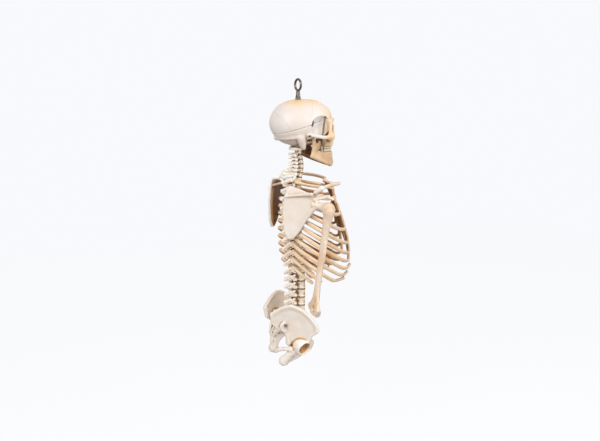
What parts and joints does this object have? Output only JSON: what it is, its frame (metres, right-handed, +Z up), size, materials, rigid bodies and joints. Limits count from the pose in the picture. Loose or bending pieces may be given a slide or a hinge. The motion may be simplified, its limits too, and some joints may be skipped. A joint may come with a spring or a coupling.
{
  "type": "human torso skeleton model",
  "caption": "Hanging anatomical torso skeleton: skull with cut cap and sprung jaw, flexed spine on a rod, rib cage, shoulder girdle, upper arms and pelvis.",
  "frame": {"origin": "centre of the hanging eye", "axes": "+Z up, the figure faces -Y, its right side is at -X"},
  "size_m": [0.3907, 0.2644, 0.8598],
  "materials": {
    "bone": "aged ivory plastic with a low sheen",
    "teeth": "glossier ivory plastic",
    "cartilage": "flexible plastic, yellowed and darker than the ribs",
    "disc": "soft tan plastic",
    "spring_wire": "dull wire",
    "dark_steel": "darkened steel",
    "bright_steel": "bright zinc-plated steel",
    "bush_plastic": "natural plastic"
  },
  "bodies": {
    "trunk": {"cap_nut": "dark_steel", "cap_washer": "dark_steel", "clavicles": "bone", "coccyx": "bone", "costal_cartilages": "cartilage", "eye_bolt": "dark_steel", "hip_left": "bone", "hip_right": "bone", "pelvis_bolts": "bright_steel", "rib_pair_01": "bone", "rib_pair_02": "bone", "rib_pair_03": "bone", "rib_pair_04": "bone", "rib_pair_05": "bone", "rib_pair_06": "bone", "rib_pair_07": "bone", "rib_pair_08": "bone", "rib_pair_09": "bone", "rib_pair_10": "bone", "rib_pair_11": "bone", "rib_pair_12": "bone", "rod_coupling": "bright_steel", "rod_end_nut": "bright_steel", "sacrum": "bone", "scapula_left": "bone", "scapula_right": "bone", "shoulder_pins": "bright_steel", "skull_collar": "bright_steel", "spine_discs": "disc", "spine_rod": "bright_steel", "sternum": "bone", "symphysis_disc": "disc", "vertebrae_c1_c2": "bone", "vertebrae_c3_c4": "bone", "vertebrae_c5_c7": "bone", "vertebrae_l1_l2": "bone", "vertebrae_l3_l5": "bone", "vertebrae_t11_t12": "bone", "vertebrae_t1_t2": "bone", "vertebrae_t3_t4": "bone", "vertebrae_t5_t6": "bone", "vertebrae_t7_t8": "bone", "vertebrae_t9_t10": "bone"},
    "skull": {"skull_cap": "bone", "skull_base": "bone", "skull_bush": "bush_plastic", "upper_teeth": "teeth", "jaw_pivot_screws": "bright_steel", "jaw_spring_top_screws": "bright_steel", "cap_latches": "dark_steel", "jaw_spring_left": "spring_wire", "jaw_spring_right": "spring_wire"},
    "jaw": {"mandible": "bone", "lower_teeth": "teeth", "jaw_spring_foot_screws": "bright_steel"},
    "arm_right": {"humerus_right": "bone", "arm_screw_right": "dark_steel"},
    "arm_left": {"humerus_left": "bone", "arm_screw_left": "dark_steel"}
  },
  "joints": [
    {"name": "skull_turn", "type": "hinge", "parent": "trunk", "child": "skull", "pos_m": [0, 0, -0.175], "axis": [0, 0, 1], "range_deg": [-45, 45]},
    {"name": "jaw_open", "type": "hinge", "parent": "skull", "child": "jaw", "pos_m": [0, -0.03, -0.15], "axis": [1, 0, 0], "range_deg": [0, 25], "stiffness_Nm_per_rad": 0.15, "springref_deg": -40.11, "deforming": ["jaw_spring_left", "jaw_spring_right"]},
    {"name": "arm_right_swing", "type": "hinge", "parent": "trunk", "child": "arm_right", "pos_m": [-0.172, -0.026, -0.334], "axis": [1, 0, 0], "range_deg": [-30, 60]},
    {"name": "arm_left_swing", "type": "hinge", "parent": "trunk", "child": "arm_left", "pos_m": [0.172, -0.026, -0.334], "axis": [1, 0, 0], "range_deg": [-30, 60]}
  ]
}
